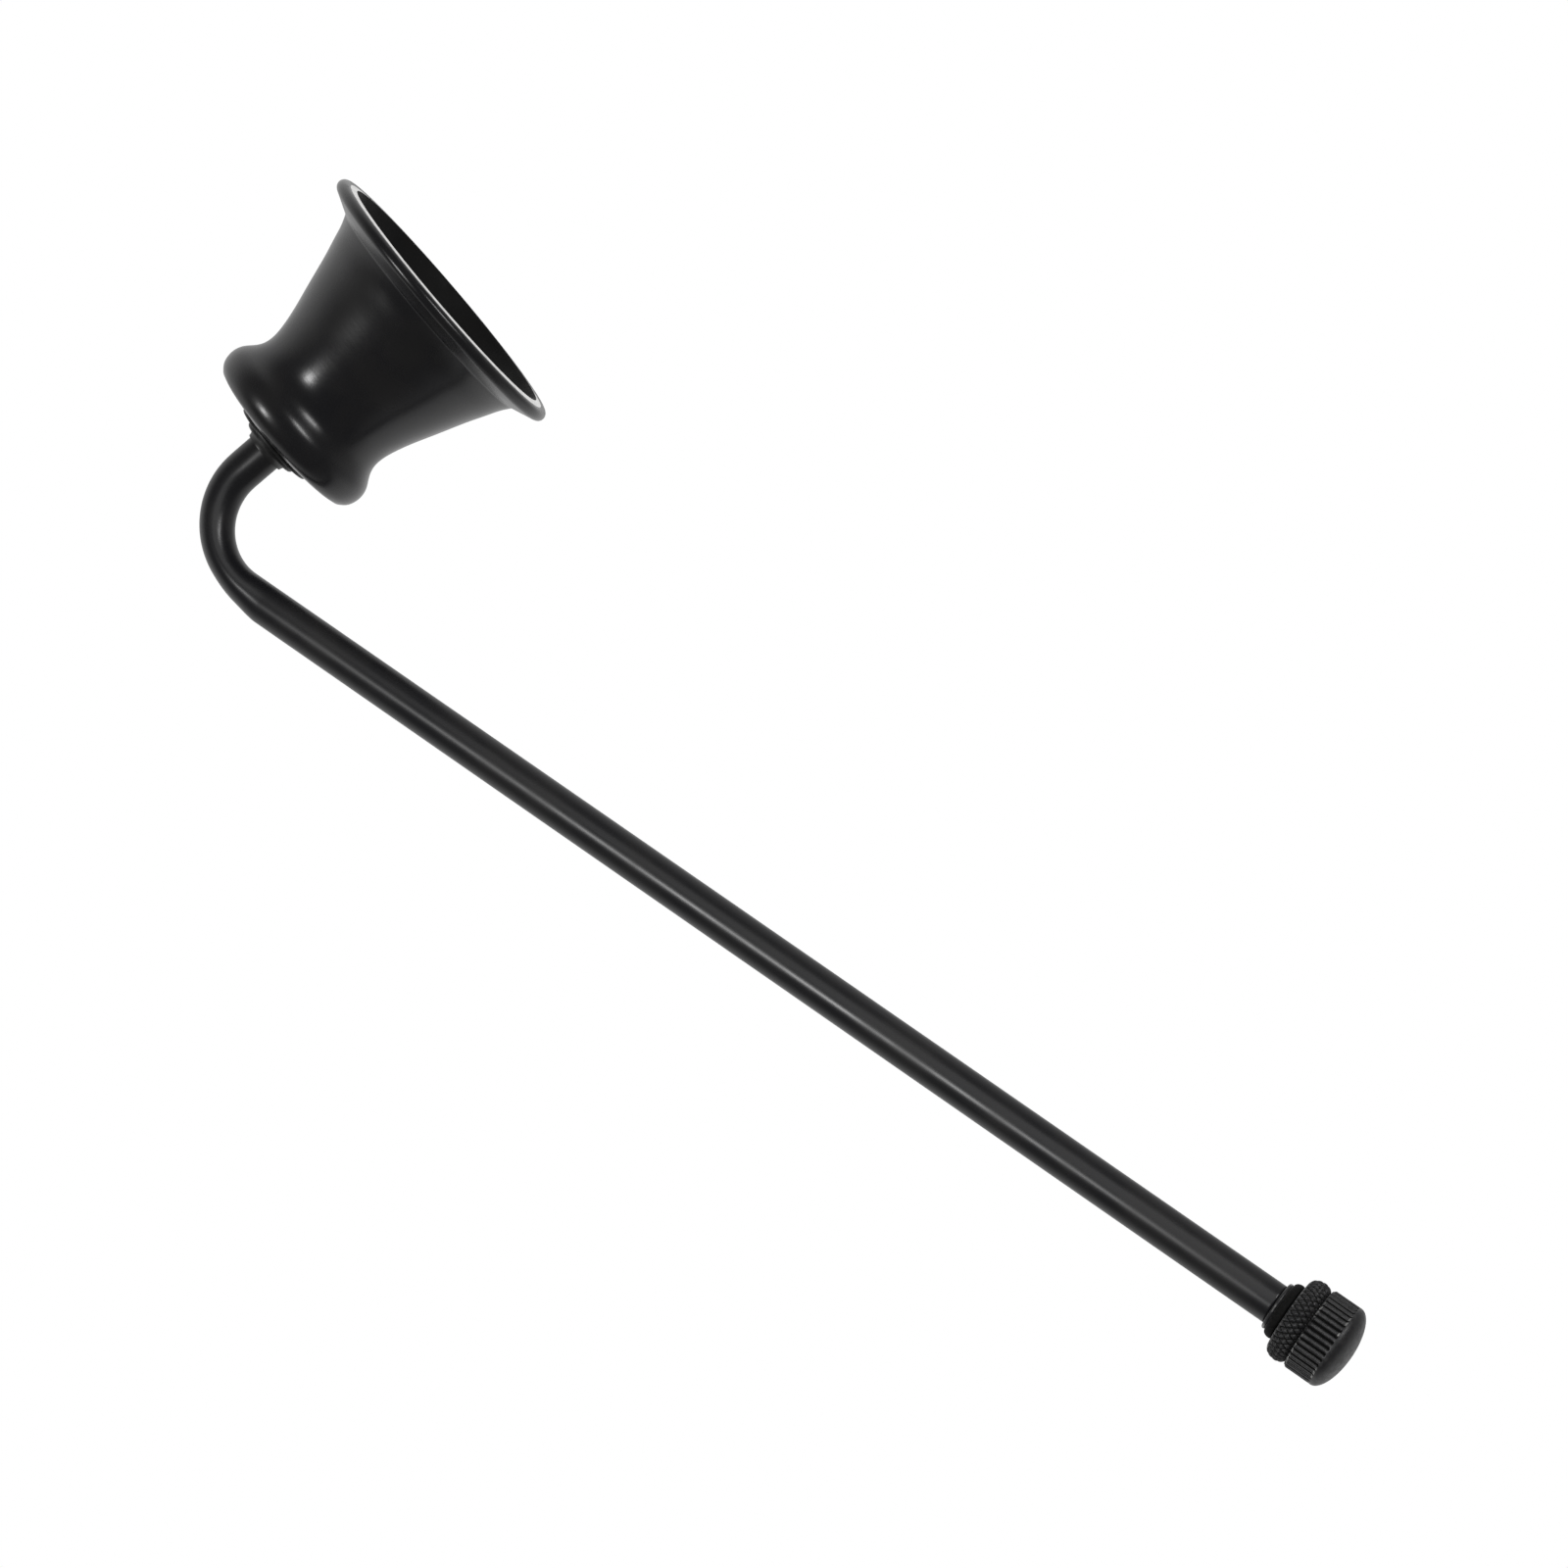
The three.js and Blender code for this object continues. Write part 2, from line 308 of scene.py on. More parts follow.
def settle(name, bm, place, body, coats):
    """Makes the finished shape the piece that stands for the CAD node of the same name."""
    for face in bm.faces:
        face.smooth = True
    for edge in bm.edges:
        edge.smooth = edge.calc_face_angle(0) < SHARP
    bm.transform(place)
    mesh = bpy.data.meshes.new(name)
    bm.to_mesh(mesh)
    bm.free()
    for coat in coats:
        mesh.materials.append(coat)
    thing = bpy.data.objects.new(name + "_shaped", mesh)
    bpy.context.scene.collection.objects.link(thing)
    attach(thing, body)
    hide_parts(name)
    pieces[name] = thing


def settle_hardware(name, bm, body, coat):
    settle(name, bm, cup_frame, body, [coat])


def settle_at_knob(name, bm, body, slot, *coats):
    settle(name, bm, knob_frame, body, coats)


# ---- cup ----
def cup_shape():
    flare = fair_line(CUP_KNOTS, 84)
    outside = [*flare, BACK_EDGE, (HUB_RADIUS, HUB_HEIGHT)]
    inside = inset_line(flare, WALL)[2:]
    seat = HUB_HEIGHT - WALL
    land = [(LAND_INNER, 0.0), *LAND_DISH]
    lip = arc((LIP_CENTRE, LIP_RISE + LIP_ROUND), LIP_ROUND, *LIP_TURN, 12)
    outline = [(CUP_HOLE, seat), (SEAT_RADIUS, seat), *inside[::-1], *MOUTH_ROUND]
    outline += land + lip + outside + [(CUP_HOLE, HUB_HEIGHT)]
    bm = turned(outline, CUP_STEPS)
    rounded(bm, ring_edges(bm, *flare[0]), CREASE_ROUND)
    rounded(bm, ring_edges(bm, *BACK_EDGE), BACK_ROUND)
    rounded(bm, ring_edges(bm, HUB_RADIUS, HUB_HEIGHT), HUB_ROUND)
    for face in bm.faces:
        centre = face.calc_center_median()
        inward = face.normal.xy.dot(centre.xy.normalized()) < -0.05
        ceiling = face.normal.z < -0.5 and centre.xy.length < HUB_RADIUS
        face.material_index = int(centre.xy.length < LAND_INNER and (inward or ceiling))
    return bm


# ---- handle ----
def flattening(past):
    """How much of the flattening there is that far past the bend's start."""
    if past < FLAT_MOST:
        share = (past - FLAT_FROM) / (FLAT_MOST - FLAT_FROM)
    else:
        share = (FLAT_TO - past) / (FLAT_TO - FLAT_MOST)
    return math.sin(math.pi / 2 * share) ** FLAT_EASE if share > 0 else 0.0


def bent(point, rise):
    """Where a point of the straight tube lies once the tube is bent."""
    past_rise = point.z - rise
    turn = min(max(past_rise / BEND_RADIUS, 0), BEND_ANGLE)
    outward = Vector((-math.cos(turn), 0, math.sin(turn)))
    along = Vector((math.sin(turn), 0, math.cos(turn)))
    flat = flattening(past_rise)
    draw_in = flat * BEND_FLAT / 2
    across = point.x * (1 - draw_in / TUBE_RADIUS) - draw_in
    spread = 1 + flat * BEND_SPREAD / TUBE_RADIUS
    straight = min(past_rise, 0) + max(past_rise - BEND_LENGTH, 0)
    centre = Vector((BEND_RADIUS, 0, BEND_START))
    centre += outward * (BEND_RADIUS + across) + along * straight
    return centre - Vector((0, point.y * spread, 0))


def tube_shape(base):
    rise = BEND_START - base
    flat = FLAT_TO - FLAT_FROM
    stops = [0, 0.25, 1, 2.5, 4, rise + FLAT_FROM]
    stops += [stops[-1] + flat * (i + 1) / BEND_RINGS for i in range(BEND_RINGS)]
    rest = rise + BEND_LENGTH + STRAIGHT - stops[-1]
    stops += [stops[-1] + rest * share for share in (0.25, 0.5, 0.75, 0.98, 0.998, 1)]
    bm = bmesh.new()
    bmesh.ops.create_circle(bm, cap_ends=False, radius=TUBE_RADIUS, segments=TUBE_STEPS)
    loop = list(bm.edges)
    for before, stop in zip(stops, stops[1:]):
        made = bmesh.ops.extrude_edge_only(bm, edges=loop)["geom"]
        verts = [part for part in made if isinstance(part, bmesh.types.BMVert)]
        loop = [p for p in made if isinstance(p, bmesh.types.BMEdge) and p.is_boundary]
        bmesh.ops.translate(bm, verts=verts, vec=(0, 0, stop - before))
    for vert in bm.verts:
        vert.co = bent(vert.co, rise)
    bmesh.ops.recalc_face_normals(bm, faces=bm.faces)
    return bm


# ---- hardware ----
def washer(inner, outer, low, high, crown):
    """A stamped washer, its outer edges rounded and its bore's edges eased."""
    outline = [(inner, low), (outer, low), (outer, high), (inner, high)]
    return turned(outline, rounds=[(1, crown), (2, crown), (0, BORE_EASE), (3, BORE_EASE)])


def flat_washer(radius, base, crown):
    return washer(CLEAR, radius, base, base + WASHER_THICK, crown)


def plug_shape(base):
    return washer(TAPPED, PLUG_RADIUS, base, base + PLUG_LENGTH, PLUG_CROWN)


def collar_shape(base):
    """A stepped collar whose upper part runs up against the tube in a hollow fillet."""
    top = base + COLLAR_HEIGHT
    foot = base + COLLAR_FOOT
    fillet = arc((COLLAR_RADIUS, top + 0.12), COLLAR_FILLET, -128, -175, 8)
    outline = [(COLLAR_BORE, base), (COLLAR_RADIUS, base), (COLLAR_RADIUS, foot)]
    outline += [(COLLAR_RADIUS - 0.18, foot + 0.18), *fillet]
    outline += [(COLLAR_BORE + 0.08, top), (COLLAR_BORE, top)]
    return turned(outline, rounds=[(1, 0.1)])


def lock_washer_shape(top):
    """A spring washer: a square section swept nearly a full turn, its ends a little apart."""
    bm = bmesh.new()
    low = top - LOCK_WASHER_THICK + LOCK_WASHER_PLAY
    high = top - LOCK_WASHER_PLAY
    corners = [(CLEAR, low), (LOCK_WASHER_RADIUS, low), (LOCK_WASHER_RADIUS, high), (CLEAR, high)]
    section = bm.faces.new([bm.verts.new((radius, 0, height)) for radius, height in corners])
    bmesh.ops.spin(
        bm,
        geom=[section, *section.edges, *section.verts],
        cent=(0, 0, 0),
        axis=(0, 0, 1),
        angle=FULL_TURN - LOCK_WASHER_OPENING,
        steps=SPRING_STEPS,
        use_merge=False,
    )
    bmesh.ops.rotate(bm, verts=bm.verts, matrix=Matrix.Rotation(LOCK_WASHER_OPENING / 2, 3, "Z"))
    for vert in bm.verts:
        vert.co.z += LOCK_WASHER_TWIST * math.atan2(vert.co.y, -vert.co.x) / math.pi
    bmesh.ops.recalc_face_normals(bm, faces=bm.faces)
    rounded(bm, [e for e in bm.edges if e.calc_face_angle(0) > SHARP], LOCK_WASHER_ROUND, 2)
    return bm


def thread_shape(low, high):
    """A closed threaded rod: one turn's V swept up the helix, its ends drawn in to the axis."""
    bm = bmesh.new()
    core = THREAD - THREAD_DEPTH
    turns = int((high - low) / THREAD_PITCH) - 1
    heights = [(core, 0), (core, 0.12), (THREAD, 0.44), (THREAD, 0.56), (core, 0.88), (core, 1)]
    points = [bm.verts.new((radius, 0, low + h * THREAD_PITCH)) for radius, h in heights]
    edges = [bm.edges.new(pair) for pair in zip(points, points[1:])]
    bmesh.ops.spin(
        bm,
        geom=points + edges,
        cent=(0, 0, 0),
        axis=(0, 0, 1),
        dvec=(0, 0, THREAD_PITCH / THREAD_STEPS),
        angle=FULL_TURN * turns,
        steps=THREAD_STEPS * turns,
        use_merge=False,
    )
    bmesh.ops.remove_doubles(bm, verts=bm.verts, dist=WELD)
    rim = [e for e in bm.edges if e.is_boundary]
    made = bmesh.ops.extrude_edge_only(bm, edges=rim)["geom"]
    middle = (low + high) / 2
    for vert in (part for part in made if isinstance(part, bmesh.types.BMVert)):
        vert.co = (0, 0, high if vert.co.z > middle else low)
    merged(bm)
    return bm


def joined(first, second):
    """Adds the second shape's faces to the first."""
    spare = bpy.data.meshes.new("spare")
    second.to_mesh(spare)
    second.free()
    first.from_mesh(spare)
    bpy.data.meshes.remove(spare)
    return first


def cross_cutter(base):
    """The tapered cross that presses the recess into the screw's head."""
    bm = bmesh.new()
    for turn in (0, math.pi / 2):
        made = bmesh.ops.create_cube(bm, size=1)["verts"]
        size = (RECESS_REACH * 2, RECESS_ARM * 2, RECESS_DEPTH * 2)
        bmesh.ops.scale(bm, verts=made, vec=size)
        for vert in made:
            if vert.co.z > 0:
                vert.co.xy *= RECESS_TAPER
        bmesh.ops.rotate(bm, verts=made, matrix=Matrix.Rotation(turn, 3, "Z"))
        bmesh.ops.translate(bm, verts=made, vec=(0, 0, base))
    return bm


def temporary(bm):
    mesh = bpy.data.meshes.new("temporary")
    bm.to_mesh(mesh)
    bm.free()
    thing = bpy.data.objects.new("temporary", mesh)
    bpy.context.scene.collection.objects.link(thing)
    return thing


def carved(shape, cutter):
    """The shape with the cutter taken out of it."""
    body = temporary(shape)
    tool = temporary(cutter)
    cut = body.modifiers.new("recess", "BOOLEAN")
    cut.operation = "DIFFERENCE"
    cut.solver = "EXACT"
    cut.use_self = True
    cut.object = tool
    depsgraph = bpy.context.evaluated_depsgraph_get()
    bm = bmesh.new()
    bm.from_object(body, depsgraph)
    for thing in (body, tool):
        mesh = thing.data
        bpy.data.objects.remove(thing)
        bpy.data.meshes.remove(mesh)
    merged(bm)
    return bm


def screw_shape(seat):
    """A pan-head machine screw, head down, with a cross recess and a rolled thread."""
    face = seat - HEAD_HEIGHT
    crown = arc((HEAD_RADIUS - HEAD_CROWN, face + HEAD_CROWN), HEAD_CROWN, -80, 0, 8)
    neck = seat + NECK_LENGTH
    neck_radius = THREAD - 0.05
    outline = [(0, face), (HEAD_RADIUS - 1.4, face), *crown]
    outline += [(HEAD_RADIUS, seat), (neck_radius, seat), (neck_radius, neck), (0, neck)]
    head = turned(outline, rounds=[(len(crown) + 2, 0.1)])
    shank = thread_shape(neck - 0.02, seat + SHANK_LENGTH - 0.3)
    return joined(carved(head, cross_cutter(face)), shank)


# ---- knob end ----
def groove(point, slant=0.0):
    """How deep the groove is there: 1 along its bottom, 0 on the crest of a rib. A slanted
    groove moves on by that many pitches per millimetre of height."""
    pitches = math.atan2(point.y, point.x) / FULL_TURN * FLUTES + point.z * slant
    return (1 - abs(pitches % 1 - 0.5) * 2) ** GROOVE_STEEPNESS


def knurl(point):
    """How deep the two slanted grooves of a diamond knurl are there."""
    return max(groove(point, KNURL_SLANT), groove(point, -KNURL_SLANT))


def painted_shade_in_grooves(bm, low, high, radius, depth_at, shaded_depth):
    """Gives the grooves between two heights the second finish, painted shade, where they are that
    deep.
    """
    for face in bm.faces:
        centre = face.calc_center_median()
        inside = low < centre.z < high and centre.xy.length > radius
        face.material_index = int(inside and depth_at(centre) > shaded_depth)


def press_in(vert, depth):
    """Moves a vertex towards the axis."""
    radius = vert.co.xy.length
    vert.co.xy *= (radius - depth) / radius


def eased(value):
    """0 below 0, 1 above 1 and a smooth step between."""
    value = min(max(value, 0), 1)
    return value * value * (3 - 2 * value)


def ferrule_shape():
    """A bead against the end of the tube, then a flare that rolls over towards the lock ring."""
    top = GAP + FERRULE_LENGTH
    bead = arc((FERRULE_SMALL + 0.1, GAP + FERRULE_BEAD), FERRULE_BEAD, -90, 50, 10)
    flare = fair_line(FERRULE_FLARE, 16)
    outline = [(CLEAR, GAP), (FERRULE_SMALL - 0.1, GAP), *bead]
    outline += [(min(radius, FERRULE_LARGE), GAP + height) for radius, height in flare]
    outline += [(3.7, top), (CLEAR, top)]
    bm = turned(outline)
    # Past the bead the flare gets the groove finish: painted shade, for the shade between the bead
    # and the lock ring.
    for face in bm.faces:
        face.material_index = int(face.calc_center_median().z > GAP + FERRULE_BEAD_TOP)
    return bm


def ring_shape(low):
    """A barrel-shaped ring with a diamond knurl cut into it, its near face left plain."""
    barrel = fair_line(RING_BARREL, 28)
    outline = [(CLEAR, low), (RING_FACE - 0.4, low)]
    outline += [(min(radius, RING_RADIUS), low + height) for radius, height in barrel]
    outline += [(RING_FACE + 0.3, low + RING_LENGTH), (CLEAR, low + RING_LENGTH)]
    bm = turned(outline, FLUTES * 10)
    for vert in bm.verts:
        height = vert.co.z - low
        reach = eased((vert.co.xy.length - RING_FACE) * 2.2) * eased((RING_LENGTH - height) / 0.3)
        if reach:
            press_in(vert, KNURL_DEPTH * reach * knurl(vert.co))
    painted_shade_in_grooves(bm, low + 0.3, low + RING_LENGTH, RING_FACE - 0.2, knurl, KNURL_SHADED_DEPTH)
    return bm


def knob_shape(low):
    """A straight-fluted cylinder with a smooth domed end."""
    top = low + KNOB_BARREL
    bore = STUD_LENGTH - STUD_IN_TUBE + STUD_PLAY
    dome = arc((0, top), KNOB_RADIUS, 0, 90, 30, KNOB_DOME / KNOB_RADIUS)
    outline = [(CLEAR, low), (KNOB_RADIUS - 0.75, low)]
    outline += [(KNOB_RADIUS - KNOB_EDGE * (1 - eased(h / 0.4)), low + h) for h in KNOB_RINGS]
    outline += dome + [(0, bore), (CLEAR, bore)]
    bm = turned(outline, FLUTES * 12)
    for vert in bm.verts:
        height = vert.co.z - low
        if vert.co.xy.length < KNOB_RADIUS - 0.5 or height > KNOB_BARREL - 0.02:
            continue
        reach = eased((height + 0.1) / 0.3) * eased((FLUTE_END - height) / FLUTE_RUN_OUT)
        press_in(vert, FLUTE_DEPTH * reach * groove(vert.co))
    painted_shade_in_grooves(bm, low + 0.1, top - 0.1, KNOB_RADIUS - 0.7, groove, FLUTE_SHADED_DEPTH)
    return bm


def stud_shape():
    low = -STUD_IN_TUBE
    return thread_shape(low, low + STUD_LENGTH)


# ---- finishes ----
class Signal:
    """One number that varies over a surface. Arithmetic on it adds Math nodes."""

    def __init__(self, bench, socket):
        self.bench = bench
        self.socket = socket

    def maths(self, operation, *values):
        return self.bench.maths(operation, *values)

    def __add__(self, other):
        return self.maths("ADD", self, other)

    def __sub__(self, other):
        return self.maths("SUBTRACT", self, other)

    def __rsub__(self, other):
        return self.maths("SUBTRACT", other, self)

    def __mul__(self, other):
        return self.maths("MULTIPLY", self, other)

    __radd__ = __add__
    __rmul__ = __mul__


class Bench:
    """Where the nodes of a finish or of the studio are laid out."""

    def __init__(self, owner):
        owner.use_nodes = True
        self.tree = owner.node_tree
        self.tree.nodes.clear()

    def node(self, kind, settings=None, sockets=None):
        made = self.tree.nodes.new(kind)
        for key, value in (settings or {}).items():
            setattr(made, key, value)
        for key, value in (sockets or {}).items():
            self.feed(made.inputs[key], value)
        return made

    def feed(self, socket, value):
        if isinstance(value, Signal):
            value = value.socket
        if isinstance(value, bpy.types.NodeSocket):
            self.tree.links.new(value, socket)
        else:
            socket.default_value = value

    def maths(self, operation, *values):
        sockets = dict(enumerate(values))
        made = self.node("ShaderNodeMath", {"operation": operation}, sockets)
        return Signal(self, made.outputs[0])

    def split(self, vector):
        parts = self.node("ShaderNodeSeparateXYZ", None, {0: vector}).outputs
        return [Signal(self, part) for part in parts]

    def step(self, value, start, end):
        """Eases from 0 to 1 as the value goes from start to end."""
        sockets = {"Value": value, "From Min": start, "From Max": end}
        settings = {"interpolation_type": "SMOOTHSTEP"}
        return Signal(self, self.node("ShaderNodeMapRange", settings, sockets).outputs[0])


class Coat(Bench):
    """A finish being mixed: its material, and the nodes that vary it over the surface."""

    def __init__(self, name):
        self.material = bpy.data.materials.new(name)
        super().__init__(self.material)
        self.shader = self.node("ShaderNodeBsdfPrincipled")
        self.output = self.node("ShaderNodeOutputMaterial")
        self.feed(self.output.inputs["Surface"], self.shader.outputs[0])

    def coordinates(self, place, stretch=(1, 1, 1)):
        """Object coordinates in the millimetres of that frame, scaled along its axes."""
        where, turn, scale = place.inverted().decompose()
        seen = self.node("ShaderNodeTexCoord").outputs["Object"]
        sockets = {"Vector": seen, "Location": where, "Rotation": turn.to_euler(), "Scale": scale}
        local = self.node("ShaderNodeMapping", None, sockets).outputs[0]
        settings = {"operation": "MULTIPLY"}
        return self.node("ShaderNodeVectorMath", settings, {0: local, 1: stretch}).outputs[0]

    def turned_about(self, place):
        """The distance from the axis and the height along it."""
        x, y, z = self.split(place)
        return self.maths("SQRT", x * x + y * y), z

    def rings(self, radius, height, scale):
        """Rings left by turning, uneven from one to the next."""
        line = self.node("ShaderNodeCombineXYZ", None, {"X": radius, "Y": height}).outputs[0]
        return self.noise(line, scale, 2.0)

    def noise(self, vector, scale, detail=3.0, roughness=0.55):
        sockets = {"Vector": vector, "Scale": scale, "Detail": detail, "Roughness": roughness}
        return Signal(self, self.node("ShaderNodeTexNoise", None, sockets).outputs["Fac"])

    def specks(self, vector, scale, size):
        """1 in small scattered dots and 0 elsewhere."""
        sockets = {"Vector": vector, "Scale": scale}
        distance = self.node("ShaderNodeTexVoronoi", None, sockets).outputs["Distance"]
        return self.step(Signal(self, distance), size, size * 0.4)

    def blend(self, share, first, second):
        """The first colour where share is 0, the second where it is 1."""
        sockets = {"Factor": share, 6: first, 7: second}
        return self.node("ShaderNodeMix", {"data_type": "RGBA"}, sockets).outputs[2]

    def raised(self, height, distance, normal=None):
        """A bump that high, in metres, over the given normal."""
        sockets = {"Height": height, "Distance": distance}
        if normal is not None:
            sockets["Normal"] = normal
        return self.node("ShaderNodeBump", None, sockets).outputs[0]

    def done(self, **sockets):
        for key, value in sockets.items():
            self.feed(self.shader.inputs[key.replace("_", " ")], value)
        return self.material


def rgb(red, green, blue):
    return (red, green, blue, 1.0)


def grey(level):
    return rgb(level, level, level)


DUST = grey(0.2)
BARE_METAL = rgb(0.95, 0.94, 0.92)


def cup_enamel():
    """Satin black enamel with a little dust, rubbed near the mouth and worn off the land."""
    coat = Coat("cup_black_enamel")
    place = coat.coordinates(cup_frame)
    radius, height = coat.turned_about(place)
    cloud = coat.noise(place, 0.11, 3.0)
    peel = coat.noise(place, 1.6, 2.0)
    dust = coat.specks(place, 1.3, 0.05) * coat.step(coat.noise(place, 0.3), 0.5, 0.62)
    rubbed = coat.step(height, 0.55, 0.0) * coat.step(coat.noise(place, 0.9, 4.0), 0.44, 0.66)
    worn = coat.step(height, 0.4, 0.3) * coat.step(radius, LAND_WORN + 0.1, LAND_WORN)
    worn = worn * (0.75 + 0.25 * coat.step(coat.noise(place, 0.7, 4.0), 0.35, 0.5))
    cool = rgb(0.006, 0.006, 0.0075)
    warm = rgb(0.010, 0.0095, 0.0098)
    colour = coat.blend(coat.step(cloud, 0.3, 0.7), cool, warm)
    colour = coat.blend(rubbed * 0.6, colour, rgb(0.06, 0.06, 0.062))
    colour = coat.blend(dust * 0.35, colour, DUST)
    colour = coat.blend(worn, colour, BARE_METAL)
    rough = 0.24 + 0.07 * coat.step(cloud, 0.35, 0.75)
    rough = rough + 0.12 * rubbed + 0.25 * dust - 0.1 * worn
    bump = coat.raised(coat.rings(radius, height, 2.2), 4e-6)
    bump = coat.raised(peel, 7e-6, bump)
    return coat.done(Base_Color=colour, Metallic=worn, Roughness=rough, Normal=bump)


def cup_inside():
    """Dull black with patches of soot at random; towards the back of the cup it is painted paler,
    painted light where the inside lies in shade.
    """
    coat = Coat("cup_inside_black")
    place = coat.coordinates(cup_frame)
    height = coat.split(place)[2]
    grain = coat.noise(place, 3.5, 5.0, 0.7)
    soot = coat.noise(place, 0.18, 4.0)
    patches = coat.step(soot, 0.35, 0.7)
    colour = coat.blend(patches, grey(0.004), rgb(0.009, 0.0085, 0.008))
    # Painted light: from 5 to 20 mm up into the cup the black is painted paler, for the shade that
    # the back of the cup lies in.
    deep_painted_light = coat.step(height, 5.0, 20.0) * (0.45 + 0.55 * patches)
    colour = coat.blend(deep_painted_light, colour, rgb(0.06, 0.058, 0.055))
    colour = coat.blend(coat.step(grain, 0.6, 0.78) * 0.5, colour, rgb(0.035, 0.034, 0.032))
    rough = 0.5 + 0.25 * coat.step(soot, 0.3, 0.75)
    bump = coat.raised(grain, 4e-5)
    return coat.done(Base_Color=colour, Roughness=rough, Specular_IOR_Level=0.2, Normal=bump)


def tube_enamel():
    """Semi-gloss black enamel with faint streaks along the tube."""
    coat = Coat("tube_black_enamel")
    place = coat.coordinates(knob_frame)
    drawn = coat.coordinates(knob_frame, (1.0, 1.0, 0.03))
    cloud = coat.noise(place, 0.09, 3.0)
    peel = coat.noise(place, 1.5, 2.0)
    streaks = coat.noise(drawn, 2.4, 3.0)
    dust = coat.specks(place, 1.1, 0.05) * coat.step(coat.noise(place, 0.25), 0.52, 0.62)
    cool = rgb(0.007, 0.007, 0.0085)
    warm = rgb(0.011, 0.0105, 0.011)
    colour = coat.blend(coat.step(cloud, 0.3, 0.7), cool, warm)
    colour = coat.blend(coat.step(streaks, 0.55, 0.8) * 0.25, colour, grey(0.03))
    colour = coat.blend(dust * 0.35, colour, DUST)
    rough = 0.29 + 0.09 * coat.step(cloud, 0.35, 0.75) + 0.25 * dust
    bump = coat.raised(streaks, 1e-6)
    bump = coat.raised(peel, 1.5e-6, bump)
    return coat.done(Base_Color=colour, Roughness=rough, Normal=bump)


def knob_enamel(name, worn_radius, worn_heights):
    """Black paint over a casting: grainier than the tube's, rubbed where it is widest, chipped
    bright here and there along its edges, and scattered with painted glints, small pale specks
    that stand for highlights."""
    coat = Coat(name)
    place = coat.coordinates(knob_frame)
    radius, height = coat.turned_about(place)
    grain = coat.noise(place, 4.5, 4.0, 0.65)
    lumps = coat.noise(place, 1.2, 3.0)
    # Painted glints: small pale specks that stand for highlights.
    painted_glints = coat.specks(place, 3.2, 0.09) * coat.step(coat.noise(place, 0.8), 0.55, 0.68)
    edge = coat.step(radius, worn_radius - 0.12, worn_radius)
    rubbed = edge * coat.step(lumps, 0.42, 0.62)
    cool = rgb(0.010, 0.010, 0.011)
    warm = rgb(0.018, 0.0175, 0.018)
    colour = coat.blend(coat.step(lumps, 0.35, 0.7), cool, warm)
    colour = coat.blend(rubbed * 0.35, colour, rgb(0.05, 0.05, 0.052))
    colour = coat.blend(painted_glints * 0.5, colour, grey(0.25))
    chipped = 0.0
    for worn_height in worn_heights:
        distance = coat.maths("ABSOLUTE", height - worn_height)
        chipped = chipped + coat.step(distance, 0.16, 0.08)
    chipped = chipped * coat.step(coat.noise(place, 0.45, 2.0), 0.5, 0.62)
    colour = coat.blend(chipped * 0.7, colour, rgb(0.4, 0.4, 0.39))
    rough = 0.38 + 0.14 * coat.step(lumps, 0.35, 0.75) - 0.1 * rubbed - 0.1 * chipped
    bump = coat.raised(grain, 2.5e-5)
    bump = coat.raised(lumps, 3e-5, bump)
    return coat.done(Base_Color=colour, Metallic=chipped * 0.7, Roughness=rough, Normal=bump)


def groove_painted_shade():
    """Painted shade: dull near-black in the bottoms of the grooves, where shade falls."""
    coat = Coat("groove_painted_shade")
    place = coat.coordinates(knob_frame)
    lumps = coat.noise(place, 3.0, 3.0)
    colour = coat.blend(coat.step(lumps, 0.3, 0.7), grey(0.003), rgb(0.008, 0.008, 0.0075))
    rough = 0.6 + 0.2 * lumps
    bump = coat.raised(lumps, 3e-5)
    return coat.done(Base_Color=colour, Roughness=rough, Specular_IOR_Level=0.12, Normal=bump)


def black_hardware(name, dark, pale):
    """Blackened steel, turned: fine uneven rings, mottled between a dark and a pale grey."""
    coat = Coat(name)
    place = coat.coordinates(cup_frame)
    rings = coat.rings(*coat.turned_about(place), 7.0)
    cloud = coat.noise(place, 0.7, 3.0)
    colour = coat.blend(coat.step(cloud, 0.3, 0.7), grey(dark), grey(pale))
    colour = coat.blend(coat.step(rings, 0.6, 0.8) * 0.4, colour, grey(pale * 3))
    rough = 0.32 + 0.16 * cloud
    bump = coat.raised(rings, 9e-6)
    return coat.done(Base_Color=colour, Roughness=rough, Metallic=0.15, Normal=bump)


def zinc_steel():
    """Bright zinc plating with faint tool marks."""
    coat = Coat("zinc_plated_steel")
    place = coat.coordinates(knob_frame)
    marks = coat.noise(coat.coordinates(knob_frame, (3.0, 3.0, 0.6)), 2.0, 3.0)
    cloud = coat.noise(place, 0.8, 3.0)
    bluish = rgb(0.42, 0.43, 0.45)
    colour = coat.blend(coat.step(cloud, 0.3, 0.7), bluish, rgb(0.56, 0.56, 0.55))
    rough = 0.28 + 0.2 * cloud
    bump = coat.raised(marks, 8e-6)
    return coat.done(Base_Color=colour, Roughness=rough, Metallic=1.0, Normal=bump)


# ---- making the snuffer ----
cup_paint = cup_enamel()
inside_paint = cup_inside()
tube_paint = tube_enamel()
ring_low = GAP + FERRULE_LENGTH + GAP
knob_low = ring_low + RING_LENGTH + GAP
knob_paint = knob_enamel("knob_black_enamel", KNOB_RADIUS, [knob_low + 0.2, knob_low + 4.3])
ring_paint = knob_enamel("lock_ring_black_enamel", RING_RADIUS, [ring_low + 0.25])
ferrule_paint = knob_enamel("ferrule_black_enamel", FERRULE_LARGE, [GAP + 0.3])
